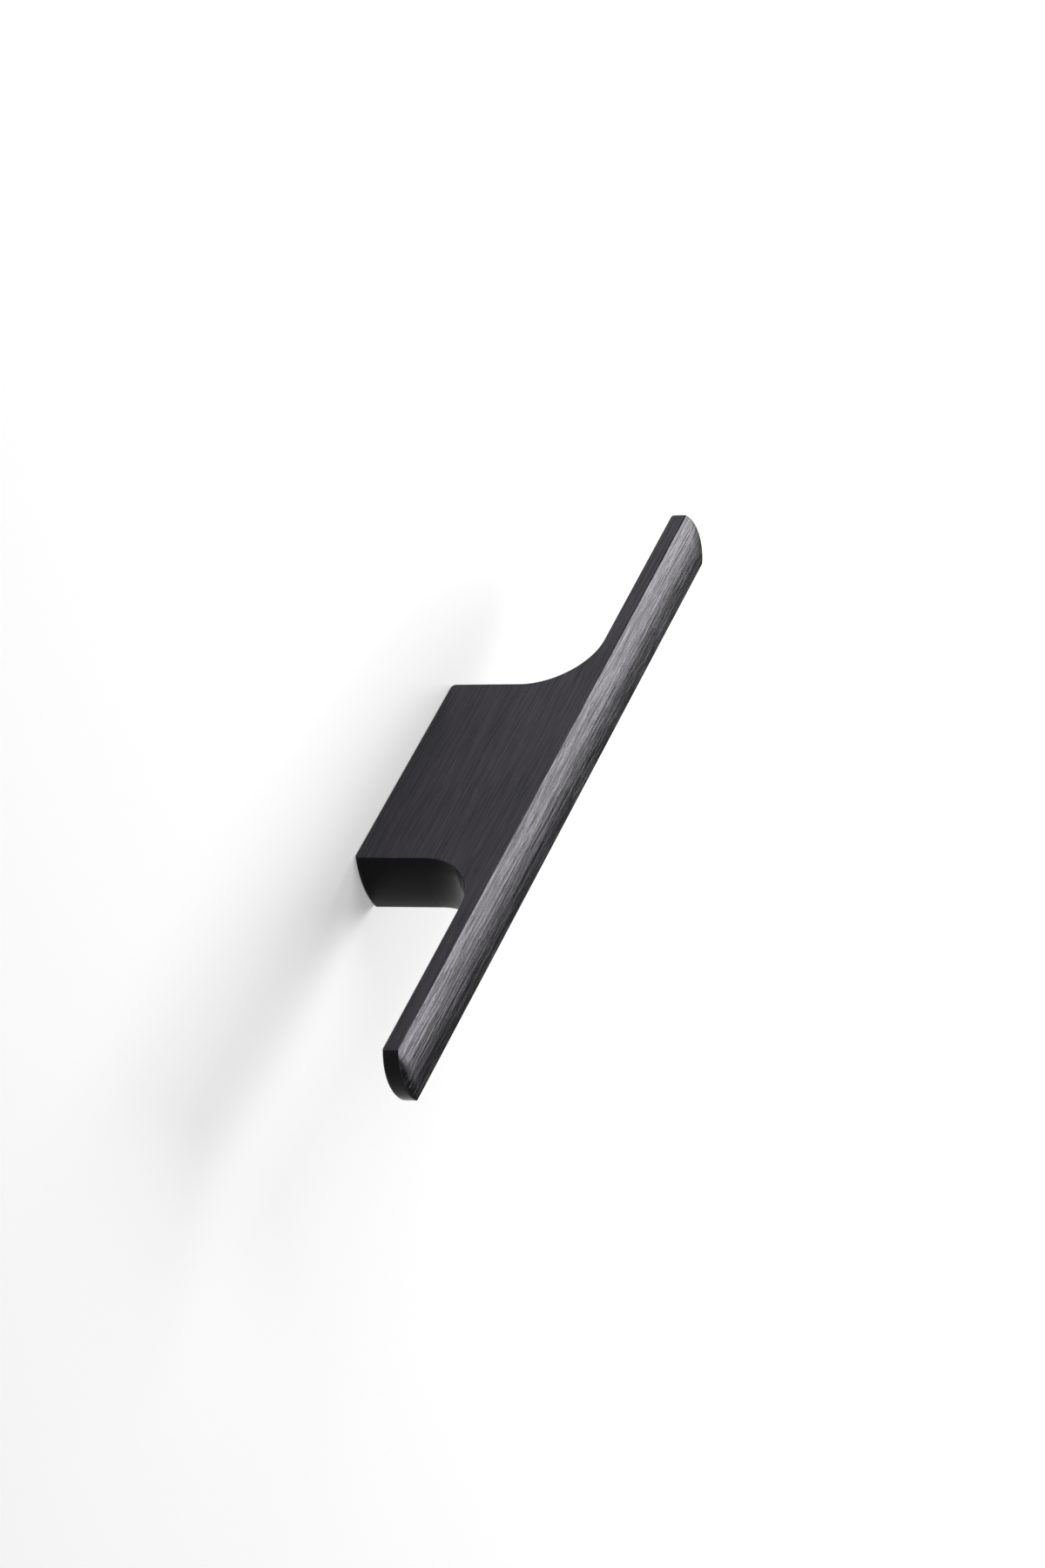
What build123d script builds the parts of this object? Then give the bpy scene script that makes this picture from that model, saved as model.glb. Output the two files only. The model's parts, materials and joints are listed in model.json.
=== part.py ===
from build123d import *
import os
from math import degrees, radians, sqrt, tan

# A T-shaped cabinet knob in one piece of metal: a long slim bar, carried in the middle by a foot
# of the same height that is screwed to the door or drawer front from behind.
# X runs along the bar, +Y points into the cabinet front and +Z points up.
# The origin is the centre of the foot's mounting face. All sizes are in millimetres.

# Whole knob
height = 12.0               # flat top to flat underside, the same on bar and foot
projection = 30.7           # mounting face to the crown of the front face
edge_radius = 0.3           # softened outer edges

# Bar
bar_length = 160.0          # over the bowed ends
bar_thickness = 3.6         # back of the bar to the crown of the front face
front_radius = 45.0         # crown of the front face, from top to underside
front_roll_length = 3.4     # stretch at each end where the front face rolls back
front_roll_radius = 24.0    # radius of that roll, seen from above
end_radius = 9.0            # bow of the two bar ends, from top to underside
end_corner_radius = 0.6     # back corners of the bar ends, seen from above

# Foot
foot_length = 53.5          # along the bar, over the bowed sides
foot_side_radius = 15.0     # bow of the two foot sides, from top to underside
foot_corner_radius = 0.9    # corners at the mounting face, seen from above
neck_radius = 12.7          # sweep from the foot sides into the back of the bar

# Two blind tapped holes in the mounting face
hole_spacing = 32.0         # centre to centre
thread_diameter = 4.0       # nominal diameter of the coarse thread
tap_drill_diameter = 3.3
thread_depth = 10.0
drill_runout = 2.0          # plain drilled length past the thread
drill_point_angle = 118.0
mouth_chamfer = 0.3

# Sizes that follow
half_height = height / 2
bar_back = bar_thickness - projection
front_crown = front_radius - sqrt(front_radius**2 - half_height**2)
front_edge = front_crown - projection
roll_start = bar_length / 2 - front_roll_length
roll_centre = front_roll_radius - projection
roll_angle = degrees(2 * front_roll_length / front_roll_radius)
thread_radius = thread_diameter / 2
drill_radius = tap_drill_diameter / 2
mouth_radius = thread_radius + mouth_chamfer
drill_depth = thread_depth + drill_runout
point_depth = drill_depth + drill_radius / tan(radians(drill_point_angle / 2))

# The crowned bar, straight in the middle; its front rolls back at both ends, past the bow
with BuildPart() as crowned_bar:
    with BuildSketch(Plane.YZ) as bar_section:
        with BuildLine() as section_line:
            crown = ThreePointArc((front_edge, -half_height), (-projection, 0), (front_edge, half_height))
            Polyline(crown @ 1, (bar_back, half_height), (bar_back, -half_height), crown @ 0)
        make_face()
    extrude(amount=roll_start, both=True)
    for side in (-1, 1):
        end_section = bar_section.sketch.moved(Location((side * roll_start, 0, 0)))
        roll_axis = Axis((side * roll_start, roll_centre, 0), (0, 0, side))
        revolve(end_section, axis=roll_axis, revolution_arc=roll_angle)

with BuildPart() as knob:
    # The bar takes its bowed ends from the front view and its rolled front from the crowned bar
    with BuildSketch(Plane.XZ.offset(-bar_back)) as bar_outline:
        SlotOverall(bar_length, 2 * end_radius)
        Rectangle(bar_length, height, mode=Mode.INTERSECT)
    extrude(amount=bar_thickness)
    add(crowned_bar.part, mode=Mode.INTERSECT)

    # The foot: the same flat top and underside, with bowed sides
    with BuildSketch(Plane.XZ) as foot_outline:
        SlotOverall(foot_length, 2 * foot_side_radius)
        Rectangle(foot_length, height, mode=Mode.INTERSECT)
    extrude(amount=-bar_back)

    # Necks sweep from the foot sides into the bar, and the bar's back corners are rounded for fingers
    back_edges = knob.edges().filter_by(GeomType.CIRCLE).filter_by_position(Axis.Y, bar_back, bar_back)
    back_edges = back_edges.sort_by(lambda edge: abs(edge.center().X))
    neck_edges, end_edges = back_edges[:2], back_edges[2:]
    fillet(neck_edges, neck_radius)
    fillet(end_edges, end_corner_radius)

    # Corners of the mounting face
    mounting_edges = knob.faces().sort_by(Axis.Y)[-1].edges()
    fillet(mounting_edges.filter_by(GeomType.CIRCLE), foot_corner_radius)

    # All remaining sharp edges are softened
    front_faces = knob.faces().sort_by(Axis.Y)[:3]
    end_rims = front_faces.edges().sort_by(lambda edge: abs(edge.center().X))[-2:]
    flat_faces = knob.faces().filter_by(Axis.Z)
    fillet(flat_faces.edges() + end_rims, edge_radius)

    # Tapped holes: chamfered mouth, thread at its nominal diameter, drilled end with its point
    for hole_x in (-hole_spacing / 2, hole_spacing / 2):
        with BuildSketch(Plane((hole_x, 0, 0))) as hole_section:
            with BuildLine() as hole_line:
                Polyline(
                    (0, 0),
                    (mouth_radius, 0),
                    (thread_radius, -mouth_chamfer),
                    (thread_radius, -thread_depth),
                    (drill_radius, -thread_depth),
                    (drill_radius, -drill_depth),
                    (0, -point_depth),
                    close=True,
                )
            make_face()
        revolve(axis=Axis((hole_x, 0, 0), (0, 1, 0)), mode=Mode.SUBTRACT)

knob.part.label = "knob"

os.makedirs("parts", exist_ok=True)
export_step(knob.part, "parts/knob.step")
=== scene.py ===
import json
from math import cos, pi, radians, sin

import bmesh
import bpy
from bpy.props import FloatProperty, FloatVectorProperty, IntProperty, PointerProperty
from mathutils import Matrix, Vector


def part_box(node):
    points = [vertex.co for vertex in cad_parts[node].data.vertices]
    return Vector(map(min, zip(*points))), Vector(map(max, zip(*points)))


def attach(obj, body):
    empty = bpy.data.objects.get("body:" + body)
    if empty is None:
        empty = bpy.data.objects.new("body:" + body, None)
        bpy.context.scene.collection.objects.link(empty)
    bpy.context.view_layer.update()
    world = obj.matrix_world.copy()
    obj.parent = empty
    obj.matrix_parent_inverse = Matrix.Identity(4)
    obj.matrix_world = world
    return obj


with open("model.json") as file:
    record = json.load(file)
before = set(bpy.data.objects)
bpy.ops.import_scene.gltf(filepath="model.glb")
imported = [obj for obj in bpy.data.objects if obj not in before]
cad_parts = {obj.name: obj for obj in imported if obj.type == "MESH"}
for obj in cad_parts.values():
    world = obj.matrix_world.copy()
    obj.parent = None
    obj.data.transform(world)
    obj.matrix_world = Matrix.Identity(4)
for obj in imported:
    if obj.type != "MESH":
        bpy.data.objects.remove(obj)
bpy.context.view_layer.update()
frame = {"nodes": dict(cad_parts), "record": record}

bl_info = {
    "name": "Cabinet Knob Looks",
    "version": (1, 0, 0),
    "blender": (4, 5, 0),
    "location": "3D View > Sidebar > Knob",
    "description": "Brushed and satin black finish, screw threads and studio stage for a cabinet knob",
    "category": "Object",
}

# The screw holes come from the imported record, in metres.
MM = 0.001
screw_holes = next(m for m in frame["record"]["mounts"] if m["name"] == "screw_holes")
hole_spacing = screw_holes["dims"]["spacing_x_mm"] * MM
hole_radius = screw_holes["dims"]["hole_r_mm"] * MM
knob_low, knob_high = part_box("knob")


class KnobFinish(bpy.types.PropertyGroup):
    """Colours and surface detail of the metal."""

    brushed_colour: FloatVectorProperty(
        name="Brushed Black",
        description="Anodised colour of the brushed faces",
        subtype="COLOR", size=3, min=0.0, max=1.0, default=(0.031, 0.0285, 0.0345))
    satin_colour: FloatVectorProperty(
        name="Satin Black",
        description="Anodised colour of the smooth walls",
        subtype="COLOR", size=3, min=0.0, max=1.0, default=(0.0009, 0.00085, 0.001))
    worn_colour: FloatVectorProperty(
        name="Worn Edge",
        description="Colour where handling has thinned the black on the edges",
        subtype="COLOR", size=3, min=0.0, max=1.0, default=(0.075, 0.073, 0.078))
    line_width: FloatProperty(
        name="Brush Line Width",
        description="Width of one brushed line",
        unit="LENGTH", min=0.00002, max=0.005, precision=5, default=0.00028)
    line_length: FloatProperty(
        name="Brush Line Length",
        description="Length of one brushed line along the bar",
        unit="LENGTH", min=0.0005, max=0.5, precision=4, default=0.01)
    line_depth: FloatProperty(
        name="Brush Line Depth",
        description="Depth of the fine brushed lines",
        unit="LENGTH", min=0.0, max=0.001, precision=6, default=0.000013)
    grain_size: FloatProperty(
        name="Satin Grain Size",
        description="Size of one grain of the satin walls",
        unit="LENGTH", min=0.00002, max=0.005, precision=5, default=0.00025)
    grain_depth: FloatProperty(
        name="Satin Grain Depth",
        description="Depth of the satin grain",
        unit="LENGTH", min=0.0, max=0.001, precision=6, default=0.000002)


class KnobThread(bpy.types.PropertyGroup):
    """Sizes of the screw threads in the mounting face."""

    spacing: FloatProperty(
        name="Hole Spacing",
        description="Distance between the two screw holes",
        unit="LENGTH", min=0.005, max=0.5, precision=4, default=hole_spacing)
    root_radius: FloatProperty(
        name="Root Radius",
        description="Radius at the bottom of the thread groove",
        unit="LENGTH", min=0.0005, max=0.02, precision=5, default=hole_radius)
    crest_radius: FloatProperty(
        name="Crest Radius",
        description="Radius at the inner crest of the thread",
        unit="LENGTH", min=0.0004, max=0.02, precision=5, default=0.00165)
    pitch: FloatProperty(
        name="Pitch",
        description="Distance from one turn of the thread to the next",
        unit="LENGTH", min=0.0001, max=0.005, precision=5, default=0.0007)
    start_depth: FloatProperty(
        name="First Turn",
        description="Depth below the mounting face where the thread begins",
        unit="LENGTH", min=0.0, max=0.01, precision=5, default=0.0005)
    end_depth: FloatProperty(
        name="Last Turn",
        description="Depth below the mounting face where the thread ends",
        unit="LENGTH", min=0.001, max=0.05, precision=5, default=0.0096)
    steps: IntProperty(
        name="Steps per Turn",
        description="Number of sections in one turn of the thread",
        min=8, max=128, default=40)


class KnobStage(bpy.types.PropertyGroup):
    """Cabinet front, floor, room light, softboxes and camera."""

    panel_colour: FloatVectorProperty(
        name="Cabinet Front",
        description="Colour of the cabinet front that carries the knob",
        subtype="COLOR", size=3, min=0.0, max=1.0, default=(0.95, 0.95, 0.95))
    panel_size: FloatProperty(
        name="Cabinet Front Size",
        description="Side of the square cabinet front",
        unit="LENGTH", min=0.2, max=50.0, default=4.0)
    panel_glow: FloatProperty(
        name="Cabinet Front Glow",
        description="Share of white added to the cabinet front where it is seen or mirrored",
        subtype="FACTOR", min=0.0, max=1.0, default=0.35)
    floor_colour: FloatVectorProperty(
        name="Floor",
        description="Colour of the studio floor",
        subtype="COLOR", size=3, min=0.0, max=1.0, default=(0.9, 0.9, 0.9))
    floor_size: FloatProperty(
        name="Floor Size",
        description="Side of the square floor",
        unit="LENGTH", min=1.0, max=50.0, default=24.0)
    floor_drop: FloatProperty(
        name="Height above Floor",
        description="Distance from the knob down to the floor",
        unit="LENGTH", min=0.01, max=5.0, default=3.0)
    air_strength: FloatProperty(
        name="Room Light",
        description="Strength of the even light from all round",
        min=0.0, max=2.0, default=0.10)
    room_glow: FloatProperty(
        name="Room Glow",
        description="Share of white added to the floor and the room where they are seen or mirrored",
        subtype="FACTOR", min=0.0, max=1.0, default=0.85)
    front_power: FloatProperty(
        name="Front Softbox",
        description="Power of the softbox at the front right, a little below the knob",
        unit="POWER", min=0.0, max=1000.0, default=13.4)
    fill_power: FloatProperty(
        name="Fill Softbox",
        description="Power of the softbox in front of and above the knob",
        unit="POWER", min=0.0, max=1000.0, default=6.5)
    back_power: FloatProperty(
        name="Back Softbox",
        description="Power of the softbox behind the cabinet front, for the mounting face",
        unit="POWER", min=0.0, max=1000.0, default=8.0)
    camera_place: FloatVectorProperty(
        name="Camera Place",
        description="Where the camera stands",
        subtype="TRANSLATION", unit="LENGTH", size=3, default=(-0.74711, -0.50702, 0.61497))
    camera_turn: FloatVectorProperty(
        name="Camera Turn",
        description="Rotation of the camera, leaning as in the picture",
        subtype="EULER", unit="ROTATION", size=3,
        default=(radians(53.7282), radians(16.5799), radians(-68.9267)))
    lens: FloatProperty(
        name="Lens",
        description="Focal length of the camera",
        unit="CAMERA", min=10.0, max=500.0, default=133.97)


def set_inputs(node, values):
    """Sets a node's inputs to plain values, by their names."""
    for name, value in values.items():
        node.inputs[name].default_value = value


def feed(tree, slot, value):
    """Links a socket to an input, or sets the input to a plain value."""
    if isinstance(value, bpy.types.NodeSocket):
        tree.links.new(value, slot)
    else:
        slot.default_value = value


def add_node(tree, kind, values):
    """A new node of the given kind, with the values of its inputs."""
    node = tree.nodes.new(kind)
    set_inputs(node, values)
    return node


def coordinates(tree, kind):
    """One of the outputs of a Texture Coordinate node."""
    return tree.nodes.new("ShaderNodeTexCoord").outputs[kind]


def split(tree, vector):
    """The X, Y and Z of a vector."""
    parts = tree.nodes.new("ShaderNodeSeparateXYZ")
    tree.links.new(vector, parts.inputs["Vector"])
    return parts.outputs["X"], parts.outputs["Y"], parts.outputs["Z"]


def maths(tree, operation, first, second=None, clamp=False):
    """A Math node's output; each operand is a socket or a number."""
    node = tree.nodes.new("ShaderNodeMath")
    node.operation = operation
    node.use_clamp = clamp
    for slot, operand in zip(node.inputs, (first, second)):
        if operand is not None:
            feed(tree, slot, operand)
    return node.outputs["Value"]


def times(tree, first, second):
    """The product of two sockets, or of a socket and a number."""
    return maths(tree, "MULTIPLY", first, second)


def vector_maths(tree, operation, first, second=None):
    """A Vector Math node; the first operand is a socket, the second a socket or three numbers."""
    node = tree.nodes.new("ShaderNodeVectorMath")
    node.operation = operation
    tree.links.new(first, node.inputs[0])
    if second is not None:
        feed(tree, node.inputs[1], second)
    return node.outputs["Value" if operation == "DOT_PRODUCT" else "Vector"]


def remap(tree, value, from_low, from_high, to_low=0.0, to_high=1.0, smooth=False):
    """A clamped Map Range of a value."""
    node = add_node(tree, "ShaderNodeMapRange", {
        "From Min": from_low, "From Max": from_high, "To Min": to_low, "To Max": to_high})
    node.interpolation_type = "SMOOTHSTEP" if smooth else "LINEAR"
    tree.links.new(value, node.inputs["Value"])
    return node.outputs["Result"]


def mix_colours(tree, share, first, second):
    """A Mix node's colour; share is a socket, each colour a socket or three numbers."""
    node = tree.nodes.new("ShaderNodeMix")
    node.data_type = "RGBA"
    tree.links.new(share, node.inputs["Factor"])
    # The node lists its sockets for numbers and vectors before those for colours.
    first_slot, second_slot, result = node.inputs[6], node.inputs[7], node.outputs[2]
    for slot, colour in ((first_slot, first), (second_slot, second)):
        plain = not isinstance(colour, bpy.types.NodeSocket)
        feed(tree, slot, (*colour, 1.0) if plain else colour)
    return result


def new_group(name, inputs, outputs):
    """An empty shader node group with its sockets and end nodes; a tuple makes a vector input."""
    group = bpy.data.node_groups.new(name, "ShaderNodeTree")
    for label, default in inputs.items():
        kind = "NodeSocketVector" if isinstance(default, tuple) else "NodeSocketFloat"
        socket = group.interface.new_socket(name=label, in_out="INPUT", socket_type=kind)
        socket.default_value = default
    for label in outputs:
        group.interface.new_socket(name=label, in_out="OUTPUT", socket_type="NodeSocketFloat")
    return group, group.nodes.new("NodeGroupInput"), group.nodes.new("NodeGroupOutput")


def place_group(tree, group, values=None):
    """A node group placed in a material with its own values."""
    node = tree.nodes.new("ShaderNodeGroup")
    node.node_tree = group
    set_inputs(node, values or {})
    return node


def noise_mask(tree, length, width, detail, roughness, low, high):
    """Noise drawn out along the bar, cut at low and high; length and width are sockets in metres."""
    along = maths(tree, "DIVIDE", 1.0, length)
    across = maths(tree, "DIVIDE", 1.0, width)
    scale = tree.nodes.new("ShaderNodeCombineXYZ")
    for axis, factor in (("X", along), ("Y", across), ("Z", across)):
        tree.links.new(factor, scale.inputs[axis])
    place = vector_maths(tree, "MULTIPLY", coordinates(tree, "Object"), scale.outputs["Vector"])
    noise = add_node(
        tree, "ShaderNodeTexNoise", {"Scale": 1.0, "Detail": detail, "Roughness": roughness})
    tree.links.new(place, noise.inputs["Vector"])
    return remap(tree, noise.outputs["Fac"], low, high)


def brush_lines_group():
    """Fine lines, broad streaks, deep scratches and short flecks, all running along the bar."""
    tree, given, made = new_group(
        "brush_lines",
        {"Line Width": 0.0003, "Line Length": 0.01},
        ("Lines", "Streaks", "Scratches", "Flecks"))
    width, length = given.outputs["Line Width"], given.outputs["Line Length"]
    lines = noise_mask(tree, length, width, detail=2.0, roughness=0.65, low=0.32, high=0.68)
    streaks = noise_mask(
        tree, times(tree, length, 2.4), times(tree, width, 2.4),
        detail=1.0, roughness=0.5, low=0.25, high=0.75)
    scratches = noise_mask(
        tree, times(tree, length, 1.2), times(tree, width, 0.55),
        detail=0.0, roughness=0.5, low=0.68, high=0.80)
    flecks = noise_mask(
        tree, times(tree, width, 5.0), times(tree, width, 0.7),
        detail=0.0, roughness=0.5, low=0.58, high=0.74)
    tree.links.new(lines, made.inputs["Lines"])
    tree.links.new(streaks, made.inputs["Streaks"])
    tree.links.new(scratches, made.inputs["Scratches"])
    tree.links.new(flecks, made.inputs["Flecks"])
    return tree


def satin_grain_group():
    """Fine even grain, and faint clouds over a wider stretch."""
    tree, given, made = new_group("satin_grain", {"Grain Size": 0.0003}, ("Grain", "Clouds"))
    size = given.outputs["Grain Size"]
    cloud_size = times(tree, size, 24.0)
    grain = noise_mask(tree, size, size, detail=2.0, roughness=0.5, low=0.3, high=0.7)
    clouds = noise_mask(
        tree, cloud_size, cloud_size, detail=3.0, roughness=0.55, low=0.3, high=0.7)
    tree.links.new(grain, made.inputs["Grain"])
    tree.links.new(clouds, made.inputs["Clouds"])
    return tree


def edge_band(tree, facing, start, full, fade, end):
    """A mask of the edges that turn out of one direction; facing is 1 where a face looks that way."""
    rise = remap(tree, facing, start, full, smooth=True)
    fall = remap(tree, facing, fade, end, to_low=1.0, to_high=0.0)
    return times(tree, rise, fall)


def edge_wear_group():
    """A mask of the rounded edges, broken up along their length."""
    tree, given, made = new_group("edge_wear", {"Patch Length": 0.006}, ("Wear",))
    _, back, up = split(tree, coordinates(tree, "Normal"))
    level_edges = edge_band(
        tree, maths(tree, "ABSOLUTE", up), start=0.70, full=0.82, fade=0.97, end=0.999)
    upright_edges = edge_band(
        tree, times(tree, back, -1.0), start=0.1, full=0.4, fade=0.97, end=0.996)
    edges = maths(tree, "MAXIMUM", level_edges, upright_edges)
    patch = given.outputs["Patch Length"]
    patches = noise_mask(tree, patch, patch, detail=4.0, roughness=0.6, low=0.38, high=0.62)
    tree.links.new(times(tree, edges, patches), made.inputs["Wear"])
    return tree


def room_paleness_group():
    """How pale the room looks from the knob: white, but dim above and below the front softbox."""
    softbox_side = (0.83, -0.557, 0.0)      # level direction of the front softbox
    softbox_drop = 0.19                     # how far it lies below level
    side_start, side_full = 0.68, 0.89      # the dim part begins and is full this far to the side
    rise_start, rise_full = 0.20, 0.36      # and this far above and below the softbox
    tree, given, made = new_group(
        "room_paleness", {"Direction": (0.0, 0.0, 1.0)}, ("Paleness",))
    direction = given.outputs["Direction"]
    level = vector_maths(
        tree, "NORMALIZE", vector_maths(tree, "MULTIPLY", direction, (1.0, 1.0, 0.0)))
    side = vector_maths(tree, "DOT_PRODUCT", level, softbox_side)
    _, _, height = split(tree, vector_maths(tree, "NORMALIZE", direction))
    rise = maths(tree, "ABSOLUTE", maths(tree, "ADD", height, softbox_drop))
    dim = times(
        tree, remap(tree, side, side_start, side_full, smooth=True),
        remap(tree, rise, rise_start, rise_full, smooth=True))
    tree.links.new(maths(tree, "SUBTRACT", 1.0, dim), made.inputs["Paleness"])
    return tree


def seen_rays(tree):
    """One where a surface or the room is seen or mirrored, and nought where it only gives light."""
    rays = tree.nodes.new("ShaderNodeLightPath")
    seen = maths(tree, "ADD", rays.outputs["Is Camera Ray"], rays.outputs["Is Glossy Ray"])
    return maths(tree, "ADD", seen, rays.outputs["Is Transmission Ray"], clamp=True)


def new_material(name):
    """A node material with its node tree and its shader."""
    material = bpy.data.materials.new(name)
    material.use_nodes = True
    return material, material.node_tree, material.node_tree.nodes["Principled BSDF"]


def add_bump(tree, shader, height, distance):
    """Turns a height into the shader's normal."""
    bump = add_node(tree, "ShaderNodeBump", {"Strength": 1.0, "Distance": distance})
    tree.links.new(height, bump.inputs["Height"])
    tree.links.new(bump.outputs["Normal"], shader.inputs["Normal"])


def brushed_black_material(finish, brush_lines, edge_wear):
    """Black anodised metal brushed along the bar."""
    streak_tone, line_tone = 0.35, 0.65     # shares of streaks and lines in the tone
    turn_start, turn_end = 0.4, 0.9         # where the top and the underside turn into the front
    top_contrast, front_contrast = 0.9, 2.2
    top_flecks, front_flecks = 0.1, 0.8
    dark, light, scratched = 0.4, 1.6, 0.2  # shares of the brushed colour
    wear = 0.3
    dark_tone, light_tone = 0.2, 0.8
    dark_roughness, light_roughness = 0.165, 0.13
    streak_depth, scratch_depth = 1.6, 1.5  # in depths of a fine line

    material, tree, shader = new_material("brushed_black")
    lines = place_group(
        tree, brush_lines, {"Line Width": finish.line_width, "Line Length": finish.line_length})
    edges = place_group(tree, edge_wear)
    black = Vector(finish.brushed_colour)

    # Light and dark lines, which show more on the front than on the top and the underside
    tone = maths(
        tree, "ADD", times(tree, lines.outputs["Streaks"], streak_tone),
        times(tree, lines.outputs["Lines"], line_tone))
    _, back, _ = split(tree, coordinates(tree, "Normal"))
    forward = times(tree, back, -1.0)
    contrast = remap(tree, forward, turn_start, turn_end, top_contrast, front_contrast)
    swing = times(tree, maths(tree, "SUBTRACT", tone, 0.5), contrast)
    shade = maths(tree, "ADD", swing, 0.5, clamp=True)
    colour = mix_colours(tree, shade, black * dark, black * light)

    # Dark scratches and flecks, and the worn edges
    fleck_share = remap(tree, forward, turn_start, turn_end, top_flecks, front_flecks)
    flecks = times(tree, lines.outputs["Flecks"], fleck_share)
    marks = maths(tree, "MAXIMUM", lines.outputs["Scratches"], flecks)
    colour = mix_colours(tree, marks, colour, black * scratched)
    worn = times(tree, edges.outputs["Wear"], wear)
    colour = mix_colours(tree, worn, colour, finish.worn_colour)
    tree.links.new(colour, shader.inputs["Base Color"])

    roughness = remap(tree, tone, dark_tone, light_tone, dark_roughness, light_roughness)
    tree.links.new(roughness, shader.inputs["Roughness"])
    streaks = times(tree, lines.outputs["Streaks"], streak_depth)
    scratches = times(tree, lines.outputs["Scratches"], scratch_depth)
    height = maths(tree, "ADD", lines.outputs["Lines"], streaks)
    height = maths(tree, "SUBTRACT", height, scratches)
    add_bump(tree, shader, height, finish.line_depth)

    # The gloss spreads across the lines, round the length of the bar.
    set_inputs(shader, {"Metallic": 1.0, "Anisotropic": 0.75})
    tangent = tree.nodes.new("ShaderNodeTangent")
    tangent.direction_type = "RADIAL"
    tangent.axis = "X"
    tree.links.new(tangent.outputs["Tangent"], shader.inputs["Tangent"])
    return material


def satin_black_material(finish, satin_grain, edge_wear):
    """Black anodised metal with a smooth satin surface."""
    dark, light = 0.85, 1.15                # shares of the satin colour
    wear = 0.1
    grain_tone, cloud_tone = 0.5, 0.5       # shares of grain and clouds in the roughness
    low_roughness, high_roughness = 0.14, 0.19

    material, tree, shader = new_material("satin_black")
    grain = place_group(tree, satin_grain, {"Grain Size": finish.grain_size})
    edges = place_group(tree, edge_wear)
    black = Vector(finish.satin_colour)
    colour = mix_colours(tree, grain.outputs["Clouds"], black * dark, black * light)
    worn = times(tree, edges.outputs["Wear"], wear)
    colour = mix_colours(tree, worn, colour, finish.worn_colour)
    tree.links.new(colour, shader.inputs["Base Color"])
    tone = maths(
        tree, "ADD", times(tree, grain.outputs["Grain"], grain_tone),
        times(tree, grain.outputs["Clouds"], cloud_tone))
    roughness = remap(tree, tone, 0.0, 1.0, low_roughness, high_roughness)
    tree.links.new(roughness, shader.inputs["Roughness"])
    add_bump(tree, shader, grain.outputs["Grain"], finish.grain_depth)
    set_inputs(shader, {"Specular IOR Level": 0.12, "Specular Tint": (0.98, 0.93, 1.0, 1.0)})
    return material


def thread_black_material(finish, thread, satin_grain):
    """Black anodised thread, paler on the crests where the screw rubs."""
    crest_end = thread.crest_radius + 0.00003
    flank_start = thread.crest_radius + 0.0001
    cloud_low, cloud_high = 0.2, 0.8
    least_rub, most_rub = 0.4, 1.0
    low_roughness, high_roughness = 0.30, 0.45

    material, tree, shader = new_material("thread_black")
    grain = place_group(tree, satin_grain, {"Grain Size": finish.grain_size})
    along, _, up = split(tree, coordinates(tree, "Object"))
    aside = maths(tree, "SUBTRACT", maths(tree, "ABSOLUTE", along), thread.spacing / 2)
    reach = maths(
        tree, "SQRT", maths(tree, "ADD", times(tree, aside, aside), times(tree, up, up)))
    crest = remap(tree, reach, crest_end, flank_start, 1.0, 0.0)
    rub = remap(tree, grain.outputs["Clouds"], cloud_low, cloud_high, least_rub, most_rub)
    rubbed = times(tree, crest, rub)
    colour = mix_colours(tree, rubbed, finish.satin_colour, finish.worn_colour)
    tree.links.new(colour, shader.inputs["Base Color"])
    roughness = remap(tree, grain.outputs["Grain"], 0.0, 1.0, low_roughness, high_roughness)
    tree.links.new(roughness, shader.inputs["Roughness"])
    add_bump(tree, shader, grain.outputs["Grain"], finish.grain_depth)
    return material


class KNOB_OT_finish_metal(bpy.types.Operator):
    """Give the knob its brushed faces, satin walls and dark screw holes"""

    bl_idname = "knob.finish_metal"
    bl_label = "Finish Metal"

    def execute(self, context):
        finish = context.scene.knob_finish
        thread = context.scene.knob_thread
        brush_lines = brush_lines_group()
        satin_grain = satin_grain_group()
        edge_wear = edge_wear_group()
        faces = frame["nodes"]["knob"].data
        faces.materials.clear()
        faces.materials.append(brushed_black_material(finish, brush_lines, edge_wear))
        faces.materials.append(satin_black_material(finish, satin_grain, edge_wear))
        faces.materials.append(thread_black_material(finish, thread, satin_grain))
        brushed, satin, bored = range(3)

        # Faces that look up, down or forward are brushed, and all the walls are satin.
        level, forward = 0.7, 0.9
        # The holes reach from their chamfered mouths to the drill points.
        mouth_radius = hole_radius * 1.2
        point_y = -0.014
        mounting_face = 0.99
        for face in faces.polygons:
            aside = abs(face.center.x) - hole_spacing / 2
            near_axis = aside ** 2 + face.center.z ** 2 < mouth_radius ** 2
            in_hole = near_axis and face.center.y > point_y and face.normal.y < mounting_face
            faces_out = abs(face.normal.z) > level or face.normal.y < -forward
            face.material_index = bored if in_hole else brushed if faces_out else satin
        return {"FINISHED"}


def finish_mesh(bm, name):
    """Turns a finished bmesh into a mesh."""
    mesh = bpy.data.meshes.new(name)
    bm.to_mesh(mesh)
    bm.free()
    return mesh


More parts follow.
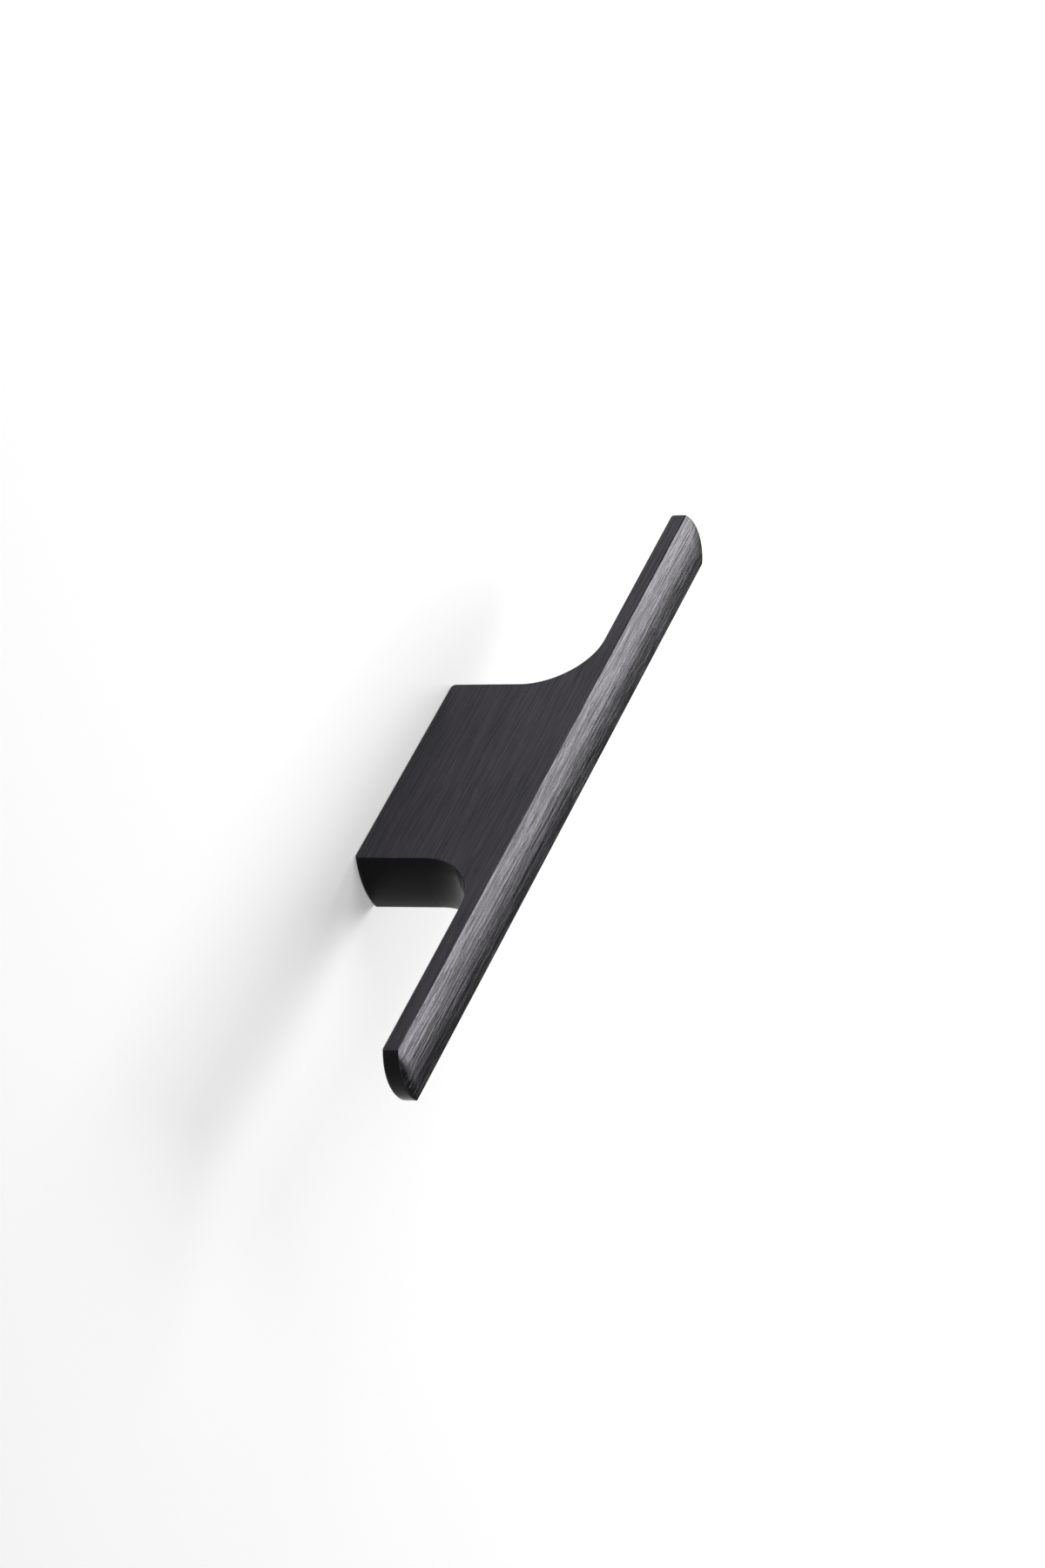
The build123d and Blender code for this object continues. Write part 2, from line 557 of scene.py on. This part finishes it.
def thread_mesh(name, thread, hole_x):
    """One right-hand ridge that winds into a screw hole and fades out at both ends."""
    fade_turns = 0.5
    least_width = 0.1                       # of the full ridge, where it has faded out
    set_in = 0.00003                        # how far the ridge sits in the wall of the hole
    root_half = thread.pitch * 7 / 16
    crest_half = thread.pitch / 8
    outer = thread.root_radius + set_in
    turns = (thread.end_depth - thread.start_depth) / thread.pitch
    count = round(turns * thread.steps)
    bm = bmesh.new()
    rings = []
    for step in range(count + 1):
        turn = turns * step / count
        angle = 2 * pi * turn
        depth = thread.start_depth + thread.pitch * turn
        share = min(1.0, turn / fade_turns, (turns - turn) / fade_turns)
        width = max(share, least_width)
        crest = thread.root_radius + (thread.crest_radius - thread.root_radius) * share
        section = (
            (outer, -root_half * width), (crest, -crest_half * width),
            (crest, crest_half * width), (outer, root_half * width))
        rings.append([
            bm.verts.new((hole_x + radius * cos(angle), -depth - along, radius * sin(angle)))
            for radius, along in section])
    for first, second in zip(rings, rings[1:]):
        for side in range(len(first)):
            # Index -1 closes the ring.
            bm.faces.new((first[side - 1], first[side], second[side], second[side - 1]))
    bm.faces.new(rings[0][::-1])
    bm.faces.new(rings[-1])
    bmesh.ops.recalc_face_normals(bm, faces=bm.faces)
    return finish_mesh(bm, name)


class KNOB_OT_cut_threads(bpy.types.Operator):
    """Wind the screw threads into the two holes of the mounting face"""

    bl_idname = "knob.cut_threads"
    bl_label = "Cut Threads"

    def execute(self, context):
        thread = context.scene.knob_thread
        for side, name in ((-1, "left_thread"), (1, "right_thread")):
            mesh = thread_mesh(name, thread, side * thread.spacing / 2)
            mesh.materials.append(bpy.data.materials["thread_black"])
            piece = bpy.data.objects.new(name, mesh)
            context.scene.collection.objects.link(piece)
            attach(piece, "root")
        return {"FINISHED"}


def matte_material(name, colour):
    """A plain matte material for the stage, whose glow lights nothing."""
    material, tree, shader = new_material(name)
    set_inputs(shader, {
        "Base Color": (*colour, 1.0), "Roughness": 0.9, "Specular IOR Level": 0.1})
    material.cycles.emission_sampling = "NONE"
    return material, tree, shader


def add_panel(stage):
    """The pale cabinet front, open behind the foot so that the mounting face can be lit."""
    gap = 0.00002                           # behind the mounting face
    open_x, open_z = 0.0245, 0.0052         # half sizes of the opening
    reach = stage.panel_size / 2
    corners = ((-1, -1), (1, -1), (1, 1), (-1, 1))
    bm = bmesh.new()
    outer = [bm.verts.new((x * reach, gap, z * reach)) for x, z in corners]
    inner = [bm.verts.new((x * open_x, gap, z * open_z)) for x, z in corners]
    for side in range(len(corners)):
        bm.faces.new((outer[side - 1], outer[side], inner[side], inner[side - 1]))
    mesh = finish_mesh(bm, "cabinet_front")
    panel = bpy.data.objects.new("cabinet_front", mesh)
    bpy.context.scene.collection.objects.link(panel)

    material, tree, shader = matte_material("panel_white", stage.panel_colour)
    set_inputs(shader, {"Emission Color": (1.0, 1.0, 1.0, 1.0)})
    glow = times(tree, seen_rays(tree), stage.panel_glow)
    tree.links.new(glow, shader.inputs["Emission Strength"])
    # Seen from behind, the panel is clear.
    clear = tree.nodes.new("ShaderNodeBsdfTransparent")
    geometry = tree.nodes.new("ShaderNodeNewGeometry")
    sides = tree.nodes.new("ShaderNodeMixShader")
    share_slot, front_slot, back_slot = sides.inputs
    tree.links.new(geometry.outputs["Backfacing"], share_slot)
    tree.links.new(shader.outputs["BSDF"], front_slot)
    tree.links.new(clear.outputs["BSDF"], back_slot)
    tree.links.new(sides.outputs["Shader"], tree.nodes["Material Output"].inputs["Surface"])
    mesh.materials.append(material)


def add_floor(stage, room_paleness):
    """The plain pale floor, far below the knob."""
    bm = bmesh.new()
    bmesh.ops.create_grid(bm, x_segments=1, y_segments=1, size=stage.floor_size / 2)
    mesh = finish_mesh(bm, "studio_floor")
    floor = bpy.data.objects.new("studio_floor", mesh)
    floor.location = (0.0, 0.0, -stage.floor_drop)
    bpy.context.scene.collection.objects.link(floor)

    material, tree, shader = matte_material("floor_white", stage.floor_colour)
    geometry = tree.nodes.new("ShaderNodeNewGeometry")
    paleness = place_group(tree, room_paleness)
    tree.links.new(geometry.outputs["Position"], paleness.inputs["Direction"])
    tree.links.new(paleness.outputs["Paleness"], shader.inputs["Emission Color"])
    glow = times(tree, seen_rays(tree), stage.room_glow)
    tree.links.new(glow, shader.inputs["Emission Strength"])
    mesh.materials.append(material)


def add_air(stage, room_paleness):
    """Even light from all round, and a pale room where it is seen or mirrored."""
    air = bpy.data.worlds.new("studio_air")
    air.use_nodes = True
    air.cycles.sampling_method = "NONE"
    tree = air.node_tree
    paleness = place_group(tree, room_paleness)
    tree.links.new(coordinates(tree, "Generated"), paleness.inputs["Direction"])
    glow = times(tree, seen_rays(tree), stage.room_glow)
    glow = times(tree, glow, paleness.outputs["Paleness"])
    background = tree.nodes["Background"]
    tree.links.new(maths(tree, "ADD", glow, stage.air_strength), background.inputs["Color"])
    bpy.context.scene.world = air


def add_softbox(name, power, direction, distance, width, height, lean=0.0):
    """An area lamp that faces the knob, level along the bar or leaning up to the right."""
    lamp = bpy.data.lights.new(name, "AREA")
    lamp.shape = "RECTANGLE"
    lamp.size = width
    lamp.size_y = height
    lamp.energy = power
    softbox = bpy.data.objects.new(name, lamp)
    towards = Vector(direction).normalized()
    softbox.location = (knob_low + knob_high) / 2 + towards * distance
    across = Vector((1.0, 0.0, lean))
    across = (across - towards * across.dot(towards)).normalized()
    turn = Matrix((across, towards.cross(across), towards)).transposed()
    softbox.rotation_euler = turn.to_euler()
    softbox.visible_camera = False
    bpy.context.scene.collection.objects.link(softbox)


def add_camera(stage):
    """The camera at the picture's viewing angle."""
    lens = bpy.data.cameras.new("camera")
    lens.sensor_fit = "VERTICAL"
    lens.sensor_height = 36.0
    lens.lens = stage.lens
    camera = bpy.data.objects.new("camera", lens)
    camera.location = stage.camera_place
    camera.rotation_euler = stage.camera_turn
    bpy.context.scene.collection.objects.link(camera)
    bpy.context.scene.camera = camera


class KNOB_OT_set_stage(bpy.types.Operator):
    """Set up the cabinet front, the floor, the room light, the softboxes and the camera"""

    bl_idname = "knob.set_stage"
    bl_label = "Set Stage"

    def execute(self, context):
        stage = context.scene.knob_stage
        context.scene.view_settings.view_transform = "Standard"
        room_paleness = room_paleness_group()
        add_panel(stage)
        add_floor(stage, room_paleness)
        add_air(stage, room_paleness)
        add_softbox(
            "front_softbox", stage.front_power, direction=(0.813, -0.5445, -0.19),
            distance=1.17, width=0.935, height=0.77, lean=0.22)
        add_softbox(
            "fill_softbox", stage.fill_power, direction=(0.48, -0.58, 0.66),
            distance=1.4, width=0.9, height=0.9)
        add_softbox(
            "back_softbox", stage.back_power, direction=(0.62, 0.76, -0.12),
            distance=1.4, width=1.0, height=1.0)
        add_camera(stage)
        return {"FINISHED"}


class VIEW3D_PT_knob(bpy.types.Panel):
    """The knob's finish, threads and stage"""

    bl_idname = "VIEW3D_PT_knob"
    bl_label = "Cabinet Knob"
    bl_space_type = "VIEW_3D"
    bl_region_type = "UI"
    bl_category = "Knob"

    def draw(self, context):
        scene = context.scene
        for settings, operator in (
                (scene.knob_finish, KNOB_OT_finish_metal),
                (scene.knob_thread, KNOB_OT_cut_threads),
                (scene.knob_stage, KNOB_OT_set_stage)):
            box = self.layout.box()
            for name in settings.__annotations__:
                box.prop(settings, name)
            box.operator(operator.bl_idname)


classes = (
    KnobFinish, KnobThread, KnobStage,
    KNOB_OT_finish_metal, KNOB_OT_cut_threads, KNOB_OT_set_stage,
    VIEW3D_PT_knob,
)


def register():
    for cls in classes:
        bpy.utils.register_class(cls)
    bpy.types.Scene.knob_finish = PointerProperty(type=KnobFinish)
    bpy.types.Scene.knob_thread = PointerProperty(type=KnobThread)
    bpy.types.Scene.knob_stage = PointerProperty(type=KnobStage)


def unregister():
    del bpy.types.Scene.knob_stage
    del bpy.types.Scene.knob_thread
    del bpy.types.Scene.knob_finish
    for cls in reversed(classes):
        bpy.utils.unregister_class(cls)


def main():
    register()
    bpy.ops.knob.finish_metal()
    bpy.ops.knob.cut_threads()
    bpy.ops.knob.set_stage()


if __name__ == "__main__":
    main()
